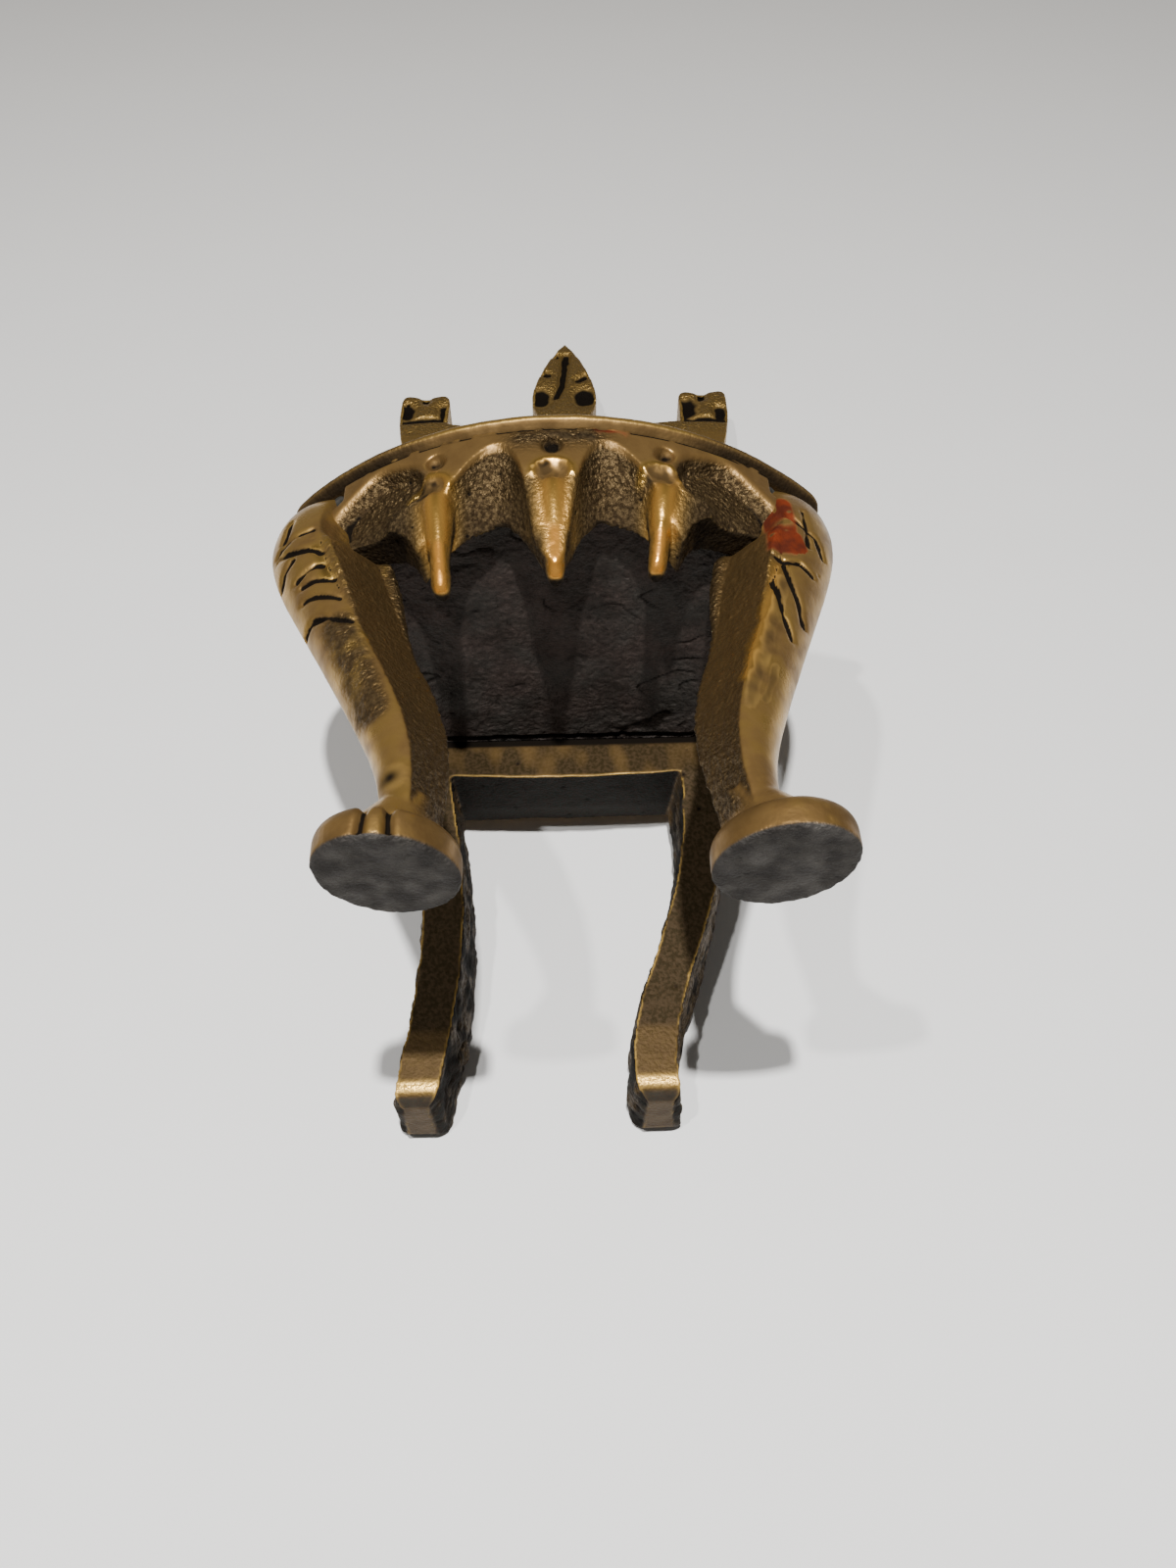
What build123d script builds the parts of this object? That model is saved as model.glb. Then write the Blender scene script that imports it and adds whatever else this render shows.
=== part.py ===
from build123d import *

import os
from math import asin, cos, degrees, radians, sin, sqrt

os.makedirs("parts", exist_ok=True)

# Miniature cast-brass side chair, standing upright.
# +Z is up, the seat opens towards -Y and the back rises at +Y.
# The origin lies on the floor, midway between the front toes and the rear heels.

# ---- seat ----
SEAT_TOP = 34.4
PLATE_THICKNESS = 1.2
PLATE_BOTTOM = SEAT_TOP - PLATE_THICKNESS
SEAT_HALF_WIDTH = 18.75
RIM_FRONT_Y = -18.1
CORNER_Y = -10.0
SEAT_REAR_Y = 7.4
SEAT_REAR_HALF_WIDTH = 12.4
PLATE_OVERHANG = 0.25
PLATE_REAR_CORNER = 3.0
PLATE_FRONT_CORNER = 2.2
PLATE_EDGE_ROUNDING = 0.5
CORE_UNDERSIDE_FRONT = 28.7
CORE_UNDERSIDE_REAR = 27.1
RAIL_UNDERSIDE = 27.6
RAIL_THICKNESS = 2.4
RAIL_INSET = 1.1
RAIL_FRONT_Y = -8.4

# The core stops inside the side rails (x, y).
CORE_EDGE = RAIL_INSET + RAIL_THICKNESS / 2
CORE_LIMIT = (
    (-SEAT_HALF_WIDTH + CORE_EDGE, CORNER_Y),
    (-SEAT_HALF_WIDTH + CORE_EDGE, -SEAT_HALF_WIDTH),
    (SEAT_HALF_WIDTH - CORE_EDGE, -SEAT_HALF_WIDTH),
    (SEAT_HALF_WIDTH - CORE_EDGE, CORNER_Y),
    (SEAT_REAR_HALF_WIDTH - CORE_EDGE, SEAT_REAR_Y),
    (-SEAT_REAR_HALF_WIDTH + CORE_EDGE, SEAT_REAR_Y),
)

# The front rim is an arc through both corners and the front apex.
RIM_SAGITTA = CORNER_Y - RIM_FRONT_Y
RIM_RADIUS = (SEAT_HALF_WIDTH**2 + RIM_SAGITTA**2) / (2 * RIM_SAGITTA)
RIM_CENTRE_Y = RIM_FRONT_Y + RIM_RADIUS

# ---- front apron ----
APRON_RADIUS = RIM_RADIUS - PLATE_OVERHANG
APRON_THICKNESS = 3.2
APRON_INNER_EDGE = 26.0
APRON_HALF_LENGTH = 14.3
DROP_TOP = 29.4
DROP_LOWEST = 20.4
DROP_SETBACK = 2.4
DROP_TIP_DEPTH = 1.1
FLUTE_TOP = 32.0

# Flutes: x, radius at the top, radius at the foot and tilt of each widening hollow.
FLUTES = (
    (-11.7, 2.1, 5.4, 27),
    (-4.05, 1.65, 5.6, 35),
    (3.35, 1.65, 5.6, 35),
    (10.9, 2.1, 5.4, 27),
)
FLUTE_LENGTH = 13.0
FLUTE_TAIL = 1.3

# Pendant drops: x and y of the collar, then x, y and height of the tip.
DROPS = (
    (-7.8, -15.6, -7.3, -13.9, 21.8),
    (-0.25, -16.8, -0.2, -14.8, 22.0),
    (7.0, -15.8, 6.1, -13.9, 23.1),
)
# Share of the way from collar to tip, half width, half depth.
DROP_SECTIONS = (
    (0.0, 0.5, 0.55),
    (0.07, 0.95, 1.1),
    (0.25, 1.1, 1.35),
    (0.5, 0.8, 1.2),
    (0.75, 0.65, 1.0),
    (0.95, 0.55, 0.8),
    (1.0, 0.3, 0.4),
)
# The wall itself stops a little above the tip of each drop.
WALL_ABOVE_TIP = 0.4

# Wave of the lower edge between neighbouring drops: share of the way across, height.
INNER_WAVE = ((0.15, 23.8), (0.3, 26.1), (0.5, 27.5), (0.7, 26.1), (0.85, 23.8))
# Lower edge from an outer drop to the knee: distance beyond the tip, height.
OUTER_WAVE = ((1.1, 23.7), (2.5, 26.3), (4.6, 27.3), (8.6, 27.6))
DIMPLE_HEIGHT = 31.3
DIMPLE_BALL_RADIUS = 1.0
DIMPLE_DEPTH = 0.4

# ---- front legs ----
PAD_X = 10.15
PAD_Y = -16.1
PAD_LENGTH = 4.0
PAD_WIDTH = 3.5
PAD_TURN = 42
PAD_THICKNESS = 2.4
PAD_ROUNDING = 1.2
SOLE_ROUNDING = 0.35
INSTEP_SHARE = 0.62
INSTEP_TOP = 4.8
ANKLE_X = 9.0
ANKLE_Y = -15.5
ANKLE_HALF_LENGTH = 1.6
ANKLE_HALF_WIDTH = 1.5
LEG_FRONT_BULGE = 0.48
LEG_BACK_BULGE = 0.32

# Leg sections from the seat down: height, then front arris, outer bulge, back and inner edge (x, y).
LEG_SECTIONS = (
    (PLATE_BOTTOM, (14.4, -12.0), (17.2, -9.9), (15.2, -7.0), (12.0, -10.6)),
    (31.4, (15.1, -13.2), (18.3, -10.8), (15.4, -7.2), (12.1, -11.1)),
    (28.5, (15.2, -14.0), (18.7, -11.3), (15.3, -7.6), (11.9, -11.1)),
    (20.5, (12.9, -15.0), (16.2, -12.4), (13.2, -9.6), (9.9, -12.0)),
    (13.5, (10.3, -16.2), (13.3, -13.8), (10.4, -11.4), (7.5, -13.2)),
    (8.5, (9.0, -17.0), (11.4, -14.8), (9.3, -12.9), (6.9, -14.2)),
    (4.5, (8.8, -17.5), (10.6, -15.4), (9.0, -13.9), (7.2, -15.0)),
    (0.8, (9.2, -17.8), (11.2, -15.6), (9.4, -13.8), (7.4, -15.1)),
)

# The hand-finished legs lean a little sideways: the front pair one way, the rear pair the other.
FRONT_LEAN_AT_FLOOR = 1.1
FRONT_LEAN_AT_KNEE = -0.35
KNEE_HEIGHT = 26.0

# ---- back frame ----
BACK_FRONT_Y = 7.5
BACK_THICKNESS = 8.8
REAR_RAIL_BOTTOM = 24.0
REAR_RAIL_TOP = 33.0
REAR_RAIL_RISE = 1.9
REAR_LEG_FRONT_WIDTH = 3.2
REAR_LEG_BACK_WIDTH = 4.0
CREST_FRONT_Y = 10.6
CREST_BACK_Y = 14.6
SPLAT_INSET = 0.8
CREST_HEIGHT = 83.2
EAR_HEIGHT = 74.6
BACK_LEAN = 0.85

# Rear leg sections from the rail down: height, x without the lean, sideways lean, front y, depth.
REAR_LEG_SECTIONS = (
    (PLATE_BOTTOM, 10.5, 0.0, 7.5, 8.4),
    (24.0, 10.35, 0.1, 7.5, 8.8),
    (19.0, 9.9, 0.4, 8.8, 8.2),
    (9.0, 8.4, -1.0, 11.4, 7.0),
    (0.0, 8.6, -2.3, 12.9, 6.7),
)

# Stile edges from the seat up: height, inner x, outer x.
STILE_EDGES = (
    (30.0, 8.9, 12.2),
    (44.0, 8.9, 12.0),
    (58.0, 10.3, 13.8),
    (66.0, 11.3, 15.8),
    (72.8, 11.5, 16.3),
)
# Two-lobed top of an ear (x, height).
EAR_TOP = ((12.5, EAR_HEIGHT), (13.9, 73.9), (15.3, EAR_HEIGHT))
# Crest edges on the right-hand side (x, height); the left side mirrors them.
CREST_LOWER_EDGE = ((0, 63.2), (7.0, 62.4), (13.5, 64.0))
CREST_UPPER_EDGE = ((13.5, 69.6), (9.0, 68.6), (5.0, 69.0), (2.7, 70.3))
LEAF_EDGE = ((2.7, 70.3), (3.2, 72.4), (2.45, 77.6), (1.3, 80.8), (0, CREST_HEIGHT))
# Side view of the back: front and back y at the ledge above the rail and at the waist.
LEDGE_HEIGHT = 41.0
LEDGE_BACK_Y = 13.5
WAIST_HEIGHT = 55.0
WAIST_FRONT_Y = 8.7
WAIST_BACK_Y = 13.1
SPLAT_HALF_WIDTHS = ((32.0, 3.0), (38.0, 2.0), (46.0, 3.9), (53.0, 3.8), (60.0, 2.2), (65.0, 3.8))
SPLAT_PIERCINGS = ((46.5, 1.3, 3.6), (56.5, 1.0, 2.4))

# ---- joints between castings ----
TENON_RADIUS = 1.2
TENON_X = 4.6
TENON_Z = 30.4
TENON_LENGTH = 5.0
TENON_GAP = 0.05
FILLET_RADIUS = 1.0
FILLET_X = 14.9
FILLET_HEIGHT = 32.1
FILLET_SINK = 0.45


def front_lean(height):
    """Sideways lean of the front legs at a height."""
    share = min(height / KNEE_HEIGHT, 1.0)
    return FRONT_LEAN_AT_FLOOR + (FRONT_LEAN_AT_KNEE - FRONT_LEAN_AT_FLOOR) * share


def rim_point(x, radius=APRON_RADIUS):
    """Plan point on the bowed front at x."""
    return (x, RIM_CENTRE_Y - sqrt(radius**2 - x**2))


def rim_plane(x, height, radius=APRON_RADIUS):
    """Plane tangent to the bowed front at x: local x runs along the bow, local z points outwards."""
    px, py = rim_point(x, radius)
    turn = degrees(asin(x / radius))
    outward = (sin(radians(turn)), -cos(radians(turn)), 0)
    along = (cos(radians(turn)), sin(radians(turn)), 0)
    return Plane(origin=(px, py, height), x_dir=along, z_dir=outward)


def leg_section(side, height, arris, outer, back, inner):
    """Closed outline of one leg section, rounded outside and flat inside."""
    lean = front_lean(height)
    a, o, b, i = [(side * x + lean, y) for x, y in (arris, outer, back, inner)]
    mid_front = ((a[0] + o[0]) / 2 + side * LEG_FRONT_BULGE, (a[1] + o[1]) / 2 - LEG_FRONT_BULGE)
    mid_back = ((o[0] + b[0]) / 2 + side * LEG_BACK_BULGE, (o[1] + b[1]) / 2 + LEG_BACK_BULGE)
    ThreePointArc(a, mid_front, o)
    ThreePointArc(o, mid_back, b)
    Line(b, i)
    Line(i, a)


def rear_leg_section(centre_x, front_y, depth):
    """Trapezoid section of a rear leg, wider at the back."""
    front_half = REAR_LEG_FRONT_WIDTH / 2
    back_half = REAR_LEG_BACK_WIDTH / 2
    Polyline(
        (centre_x - front_half, front_y),
        (centre_x + front_half, front_y),
        (centre_x + back_half, front_y + depth),
        (centre_x - back_half, front_y + depth),
        close=True,
    )


def leaned(points):
    """Points of the back's front view, carried sideways by its slight lean."""
    rise = EAR_HEIGHT - REAR_RAIL_TOP
    return [(x + BACK_LEAN * max(z - REAR_RAIL_TOP, 0) / rise, z) for x, z in points]


def stile_outline(side):
    """Front view of one stile, ending in a rounded ear."""
    inner = leaned([(side * x, height) for height, x, _ in STILE_EDGES])
    outer = leaned([(side * x, height) for height, _, x in STILE_EDGES])
    ear_top = leaned([(side * x, height) for x, height in EAR_TOP])
    Spline(*inner)
    Spline(inner[-1], *ear_top, outer[-1])
    Spline(*reversed(outer))
    Line(outer[0], inner[0])


def mirrored(points):
    """The same edge on the other side, run backwards."""
    return [(-x, z) for x, z in reversed(points)]


def crest_outline():
    """Front view of the crest rail with its pointed leaf."""
    Spline(*leaned([*mirrored(CREST_LOWER_EDGE)[:-1], *CREST_LOWER_EDGE]))
    Line(*leaned([CREST_LOWER_EDGE[-1], CREST_UPPER_EDGE[0]]))
    Spline(*leaned(CREST_UPPER_EDGE))
    Spline(*leaned(LEAF_EDGE))
    Spline(*leaned(mirrored(LEAF_EDGE)))
    Spline(*leaned(mirrored(CREST_UPPER_EDGE)))
    Line(*leaned([mirrored(CREST_UPPER_EDGE)[-1], mirrored(CREST_LOWER_EDGE)[0]]))


def splat_outline():
    """Front view of the vase-shaped splat."""
    right = leaned([(half, height) for height, half in SPLAT_HALF_WIDTHS])
    left = leaned([(-half, height) for height, half in reversed(SPLAT_HALF_WIDTHS)])
    Spline(*right)
    Line(right[-1], left[0])
    Spline(*left)
    Line(left[-1], right[0])


def back_side_outline(inset=0.0):
    """Side view of the rail and the slightly leaning back above it."""
    front_y = BACK_FRONT_Y + inset
    rail_back = BACK_FRONT_Y + BACK_THICKNESS - inset
    front = [
        (front_y, REAR_RAIL_TOP),
        (WAIST_FRONT_Y + inset, WAIST_HEIGHT),
        (CREST_FRONT_Y + inset, CREST_HEIGHT),
    ]
    back = [
        (LEDGE_BACK_Y - inset, LEDGE_HEIGHT),
        (WAIST_BACK_Y - inset, WAIST_HEIGHT),
        (CREST_BACK_Y - inset, CREST_HEIGHT),
    ]
    Line((front_y, REAR_RAIL_BOTTOM), front[0])
    Spline(*front)
    Line(front[-1], back[-1])
    Spline(*reversed(back))
    Polyline(
        back[0],
        (rail_back, REAR_RAIL_TOP),
        (rail_back, REAR_RAIL_BOTTOM + REAR_RAIL_RISE),
        (front_y, REAR_RAIL_BOTTOM),
    )


def wave_edges():
    """Curves of the apron's lower edge: one between each pair of drops and one beyond each outer drop."""
    edges = []
    tips = [(tip_x, tip_z + WALL_ABOVE_TIP) for _, _, tip_x, _, tip_z in DROPS]
    for left, right in zip(tips, tips[1:]):
        middle = [(left[0] + (right[0] - left[0]) * share, height) for share, height in INNER_WAVE]
        edges.append([left, *middle, right])
    for side, tip in ((-1, tips[0]), (1, tips[-1])):
        edges.append([tip, *[(tip[0] + side * out, height) for out, height in OUTER_WAVE]])
    return edges


def seat_outline():
    """Shield-shaped plan outline of the seat."""
    left = (-SEAT_HALF_WIDTH, CORNER_Y)
    right = (SEAT_HALF_WIDTH, CORNER_Y)
    ThreePointArc(left, (0, RIM_FRONT_Y), right)
    Line(right, (SEAT_REAR_HALF_WIDTH, SEAT_REAR_Y))
    Line((SEAT_REAR_HALF_WIDTH, SEAT_REAR_Y), (-SEAT_REAR_HALF_WIDTH, SEAT_REAR_Y))
    Line((-SEAT_REAR_HALF_WIDTH, SEAT_REAR_Y), left)


def front_leg(side):
    """Cabriole leg with a pad foot; side is -1 for the left and 1 for the right."""
    with BuildPart() as leg:
        for height, *points in LEG_SECTIONS:
            with BuildSketch(Plane.XY.offset(height)):
                with BuildLine():
                    leg_section(side, height, *points)
                make_face()
        loft()
        pad_centre = (side * PAD_X + FRONT_LEAN_AT_FLOOR, PAD_Y)
        ankle_centre = (side * ANKLE_X + front_lean(INSTEP_TOP), ANKLE_Y)
        with BuildSketch(Plane.XY.offset(PAD_THICKNESS)):
            with Locations(pad_centre):
                Ellipse(PAD_LENGTH * INSTEP_SHARE, PAD_WIDTH * INSTEP_SHARE, rotation=-side * PAD_TURN)
        with BuildSketch(Plane.XY.offset(INSTEP_TOP)):
            with Locations(ankle_centre):
                Ellipse(ANKLE_HALF_LENGTH, ANKLE_HALF_WIDTH, rotation=-side * PAD_TURN)
        loft()
        with BuildPart(mode=Mode.PRIVATE) as pad:
            with BuildSketch(Plane.XY):
                with Locations(pad_centre):
                    Ellipse(PAD_LENGTH, PAD_WIDTH, rotation=-side * PAD_TURN)
            extrude(amount=PAD_THICKNESS)
            fillet(pad.faces().sort_by(Axis.Z)[-1].edges(), PAD_ROUNDING)
            fillet(pad.faces().sort_by(Axis.Z)[0].edges(), SOLE_ROUNDING)
        add(pad.part)
    return leg


left_front_leg = front_leg(-1)
left_front_leg.part.label = "left_front_leg"
right_front_leg = front_leg(1)
right_front_leg.part.label = "right_front_leg"

# Seat plate: thin, with a rounded upper edge.
with BuildPart() as seat_plate:
    with BuildSketch(Plane.XY.offset(PLATE_BOTTOM)) as plate_sketch:
        with BuildLine():
            seat_outline()
        make_face()
        fillet(plate_sketch.vertices().group_by(Axis.Y)[-1], PLATE_REAR_CORNER)
        fillet(plate_sketch.vertices().group_by(Axis.Y)[0], PLATE_FRONT_CORNER)
    extrude(amount=PLATE_THICKNESS)
    fillet(seat_plate.faces().sort_by(Axis.Z)[-1].edges(), PLATE_EDGE_ROUNDING)
seat_plate.part.label = "seat_plate"

# Front apron: a bowed wall whose flutes run out at the bottom and leave three pendant drops.
with BuildPart() as front_apron:
    with BuildSketch(Plane.YZ):
        with BuildLine():
            wall_outer = RIM_CENTRE_Y - APRON_RADIUS
            wall_inner = wall_outer + APRON_THICKNESS
            Polyline(
                (wall_outer, PLATE_BOTTOM),
                (wall_outer, DROP_TOP),
                (wall_outer + DROP_SETBACK, DROP_LOWEST),
                (wall_outer + DROP_SETBACK + DROP_TIP_DEPTH, DROP_LOWEST),
                (wall_inner, APRON_INNER_EDGE),
                (wall_inner, PLATE_BOTTOM),
                close=True,
            )
        make_face()
    revolve(axis=Axis((0, RIM_CENTRE_Y, 0), (0, 0, 1)))
    with Locations((0, wall_outer, SEAT_TOP / 2)):
        Box(2 * APRON_HALF_LENGTH, SEAT_HALF_WIDTH, 2 * SEAT_TOP, mode=Mode.INTERSECT)
    # Flutes: tilted round cutters, widening downwards, that leave arches in the upper band.
    for x, top_radius, foot_radius, tilt in FLUTES:
        flute_plane = rim_plane(x, FLUTE_TOP).rotated((90 + tilt, 0, 0))
        tail_radius = foot_radius + (foot_radius - top_radius) * FLUTE_TAIL
        tail_distance = FLUTE_LENGTH * (1 + FLUTE_TAIL)
        for distance, radius in ((0, top_radius), (tail_distance, tail_radius)):
            with BuildSketch(flute_plane.offset(distance)):
                with Locations((0, radius)):
                    Circle(radius)
        loft(mode=Mode.SUBTRACT)
    # The lower edge is a wave with its points at the drops.
    with BuildSketch(Plane.XZ):
        for points in wave_edges():
            with BuildLine():
                Spline(*points)
                Line(points[-1], (points[-1][0], 0))
                Line((points[-1][0], 0), (points[0][0], 0))
                Line((points[0][0], 0), points[0])
            make_face()
    extrude(amount=SEAT_HALF_WIDTH, mode=Mode.SUBTRACT)
    # Pendant drops hang from the wall and lean back towards their tips.
    for collar_x, collar_y, tip_x, tip_y, tip_z in DROPS:
        for share, half_width, half_depth in DROP_SECTIONS:
            centre_x = collar_x + (tip_x - collar_x) * share
            centre_y = collar_y + (tip_y - collar_y) * share
            with BuildSketch(Plane.XY.offset(DROP_TOP + (tip_z - DROP_TOP) * share)):
                with Locations((centre_x, centre_y)):
                    Ellipse(half_width, half_depth)
        loft()
    # One punched dimple above each drop.
    for collar_x, *_ in DROPS:
        dimple_plane = rim_plane(collar_x, DIMPLE_HEIGHT)
        with Locations(dimple_plane.offset(DIMPLE_BALL_RADIUS - DIMPLE_DEPTH)):
            Sphere(DIMPLE_BALL_RADIUS, mode=Mode.SUBTRACT)
    add(left_front_leg.part, mode=Mode.SUBTRACT)
    add(right_front_leg.part, mode=Mode.SUBTRACT)
front_apron.part.label = "front_apron"

# Tenons and the holes that take them.
tenon_plane = Plane.XZ.offset(-SEAT_REAR_Y)
with BuildPart() as rear_tenons:
    with BuildSketch(tenon_plane):
        with Locations((-TENON_X, TENON_Z), (TENON_X, TENON_Z)):
            Circle(TENON_RADIUS)
    extrude(amount=TENON_LENGTH / 2, both=True)
rear_tenons.part.label = "rear_tenons"

with BuildPart() as tenon_holes:
    with BuildSketch(tenon_plane):
        with Locations((-TENON_X, TENON_Z), (TENON_X, TENON_Z)):
            Circle(TENON_RADIUS + TENON_GAP)
    extrude(amount=TENON_LENGTH / 2 + TENON_GAP, both=True)

# Splat: a pierced vase, thinner than the stiles and set back from their faces.
with BuildPart() as splat:
    with BuildSketch(Plane.XZ):
        with BuildLine():
            splat_outline()
        make_face()
        for height, half_width, half_height in SPLAT_PIERCINGS:
            with Locations(leaned([(0, height)])[0]):
                Ellipse(half_width, half_height, mode=Mode.SUBTRACT)
    extrude(amount=SEAT_HALF_WIDTH, both=True)
    with BuildSketch(Plane.YZ):
        with BuildLine():
            back_side_outline(SPLAT_INSET)
        make_face()
    extrude(amount=SEAT_HALF_WIDTH, both=True, mode=Mode.INTERSECT)

# Back frame: the front view of rail, stiles, crest and splat, cut to the rake of the side view.
with BuildPart() as back_frame:
    with BuildSketch(Plane.XZ):
        with Locations((0, (REAR_RAIL_BOTTOM + REAR_RAIL_TOP) / 2)):
            Rectangle(2 * REAR_LEG_SECTIONS[1][1], REAR_RAIL_TOP - REAR_RAIL_BOTTOM)
        for side in (-1, 1):
            with BuildLine():
                stile_outline(side)
            make_face()
        with BuildLine():
            crest_outline()
        make_face()
    extrude(amount=SEAT_HALF_WIDTH, both=True)
    with BuildSketch(Plane.YZ):
        with BuildLine():
            back_side_outline()
        make_face()
    extrude(amount=SEAT_HALF_WIDTH, both=True, mode=Mode.INTERSECT)
    add(splat.part)
    for side in (-1, 1):
        for height, x, lean, front_y, depth in REAR_LEG_SECTIONS:
            with BuildSketch(Plane.XY.offset(height)):
                with BuildLine():
                    rear_leg_section(side * x + lean, front_y, depth)
                make_face()
        loft()
    add(tenon_holes.part, mode=Mode.SUBTRACT)
    split(bisect_by=Plane.XZ.offset(-BACK_FRONT_Y), keep=Keep.BOTTOM)
back_frame.part.label = "back_frame"

# Side rails run from the knee blocks to the rear legs.
def side_rail(side):
    """Side rail under the edge of the seat plate."""
    with BuildPart() as rail:
        with BuildSketch(Plane.XY.offset(RAIL_UNDERSIDE)):
            rear_x = SEAT_REAR_HALF_WIDTH - RAIL_INSET
            flare = (SEAT_HALF_WIDTH - SEAT_REAR_HALF_WIDTH) / (SEAT_REAR_Y - CORNER_Y)
            front_x = rear_x + flare * (SEAT_REAR_Y - RAIL_FRONT_Y)
            with BuildLine():
                Polyline(
                    (side * front_x, RAIL_FRONT_Y),
                    (side * rear_x, SEAT_REAR_Y),
                    (side * (rear_x - RAIL_THICKNESS), SEAT_REAR_Y),
                    (side * (front_x - RAIL_THICKNESS), RAIL_FRONT_Y),
                    close=True,
                )
            make_face()
        extrude(amount=PLATE_BOTTOM - RAIL_UNDERSIDE)
        add(left_front_leg.part, mode=Mode.SUBTRACT)
        add(right_front_leg.part, mode=Mode.SUBTRACT)
    return rail


left_side_rail = side_rail(-1)
left_side_rail.part.label = "left_side_rail"
right_side_rail = side_rail(1)
right_side_rail.part.label = "right_side_rail"

# Seat core: fills the space between apron, rails and legs.
with BuildPart() as seat_core:
    with BuildSketch(Plane.XY.offset(PLATE_BOTTOM)):
        with BuildLine():
            seat_outline()
        make_face()
        with Locations((0, RIM_CENTRE_Y)):
            Circle(APRON_RADIUS - APRON_THICKNESS, mode=Mode.INTERSECT)
        with BuildLine():
            Polyline(*CORE_LIMIT, close=True)
        make_face(mode=Mode.INTERSECT)
    extrude(amount=CORE_UNDERSIDE_REAR - PLATE_BOTTOM)
    with BuildSketch(Plane.YZ):
        with BuildLine():
            Polyline(
                (RIM_FRONT_Y, CORE_UNDERSIDE_FRONT),
                (SEAT_REAR_Y, CORE_UNDERSIDE_REAR),
                (SEAT_REAR_Y, PLATE_BOTTOM),
                (RIM_FRONT_Y, PLATE_BOTTOM),
                close=True,
            )
        make_face()
    extrude(amount=SEAT_HALF_WIDTH, both=True, mode=Mode.INTERSECT)
    for neighbour in (left_front_leg, right_front_leg, left_side_rail, right_side_rail, tenon_holes):
        add(neighbour.part, mode=Mode.SUBTRACT)
seat_core.part.label = "seat_core"

# Solder fillets fill the corners between the apron's ends, the knees and the plate.
with BuildPart() as solder_fillets:
    for x in (-FILLET_X, FILLET_X):
        with Locations(rim_plane(x + FRONT_LEAN_AT_KNEE, FILLET_HEIGHT).offset(-FILLET_SINK)):
            Sphere(FILLET_RADIUS)
    for neighbour in (left_front_leg, right_front_leg, front_apron, seat_core):
        add(neighbour.part, mode=Mode.SUBTRACT)
solder_fillets.part.label = "solder_fillets"

pieces = (
    seat_plate,
    seat_core,
    front_apron,
    left_front_leg,
    right_front_leg,
    left_side_rail,
    right_side_rail,
    back_frame,
    rear_tenons,
    solder_fillets,
)
for piece in pieces:
    export_step(piece.part, f"parts/{piece.part.label}.step")
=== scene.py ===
import math

import bpy
import numpy as np
from mathutils import Matrix, Vector


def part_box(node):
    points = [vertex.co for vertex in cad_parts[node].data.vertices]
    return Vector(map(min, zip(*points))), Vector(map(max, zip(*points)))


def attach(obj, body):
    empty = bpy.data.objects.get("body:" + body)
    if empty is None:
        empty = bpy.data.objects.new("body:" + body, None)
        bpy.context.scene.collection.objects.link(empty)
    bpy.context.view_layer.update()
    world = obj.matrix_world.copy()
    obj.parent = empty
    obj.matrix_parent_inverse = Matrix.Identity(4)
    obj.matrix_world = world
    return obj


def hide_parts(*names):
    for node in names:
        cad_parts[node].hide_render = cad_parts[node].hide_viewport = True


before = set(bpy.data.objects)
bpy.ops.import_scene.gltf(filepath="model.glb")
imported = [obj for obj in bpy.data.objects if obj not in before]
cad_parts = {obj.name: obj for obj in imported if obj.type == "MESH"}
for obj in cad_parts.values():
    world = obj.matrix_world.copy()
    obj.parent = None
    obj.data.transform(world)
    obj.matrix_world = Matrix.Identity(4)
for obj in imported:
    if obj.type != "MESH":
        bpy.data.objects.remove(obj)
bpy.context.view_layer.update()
MM = 0.001  # the frame is in metres, and every size below is in millimetres unless it says otherwise

# ---------------------------------------------------------------- noise

# Turns the noise's lattice, so that its cells aren't in line with the chair.
TWIST = np.array([[0.80, 0.36, -0.48], [-0.60, 0.48, -0.64], [0.0, 0.80, 0.60]])


def lattice(cell, seed):
    """A fixed random number from 0 to 1 for each whole-numbered cell, scrambled by large odd numbers."""
    x, y, z = (cell[:, i].astype(np.int64).view(np.uint64) for i in range(3))
    h = x * np.uint64(73856093) ^ y * np.uint64(19349663) ^ z * np.uint64(83492791)
    h = (h + np.uint64(seed * 7919 + 17)) & np.uint64(0xFFFFFFFF)
    h = (h ^ (h >> np.uint64(15))) * np.uint64(2246822519) & np.uint64(0xFFFFFFFF)
    h = (h ^ (h >> np.uint64(13))) * np.uint64(3266489917) & np.uint64(0xFFFFFFFF)
    return ((h ^ (h >> np.uint64(16))) & np.uint64(0xFFFF)).astype(float) / 0xFFFF


def noise(points, size, seed):
    """Smooth noise from -1 to 1 with features about size millimetres wide. Each seed has its own pattern."""
    q = points @ TWIST / size
    cell = np.floor(q)
    f = q - cell
    f = f * f * (3 - 2 * f)
    total = np.zeros(len(points))
    for corner in range(8):
        step = np.array([corner & 1, corner >> 1 & 1, corner >> 2])
        total += np.prod(np.where(step, f, 1 - f), axis=1) * lattice(cell + step, seed)
    return total * 2 - 1


def spots(points, spacing, radius, share, seed):
    """Scattered round spots: 1 in the middle of one, 0 outside all of them."""
    q = points @ TWIST / spacing
    base = np.floor(q)
    deepest = np.zeros(len(points))
    for dx in (-1, 0, 1):
        for dy in (-1, 0, 1):
            for dz in (-1, 0, 1):
                cell = base + np.array([dx, dy, dz])
                centre = cell + np.stack([lattice(cell, seed + k) for k in (1, 2, 3)], axis=1)
                near = 1 - np.linalg.norm(q - centre, axis=1) * spacing / radius
                deepest = np.maximum(deepest, np.where(lattice(cell, seed) < share, near, 0))
    return np.clip(deepest, 0, 1)


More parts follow.
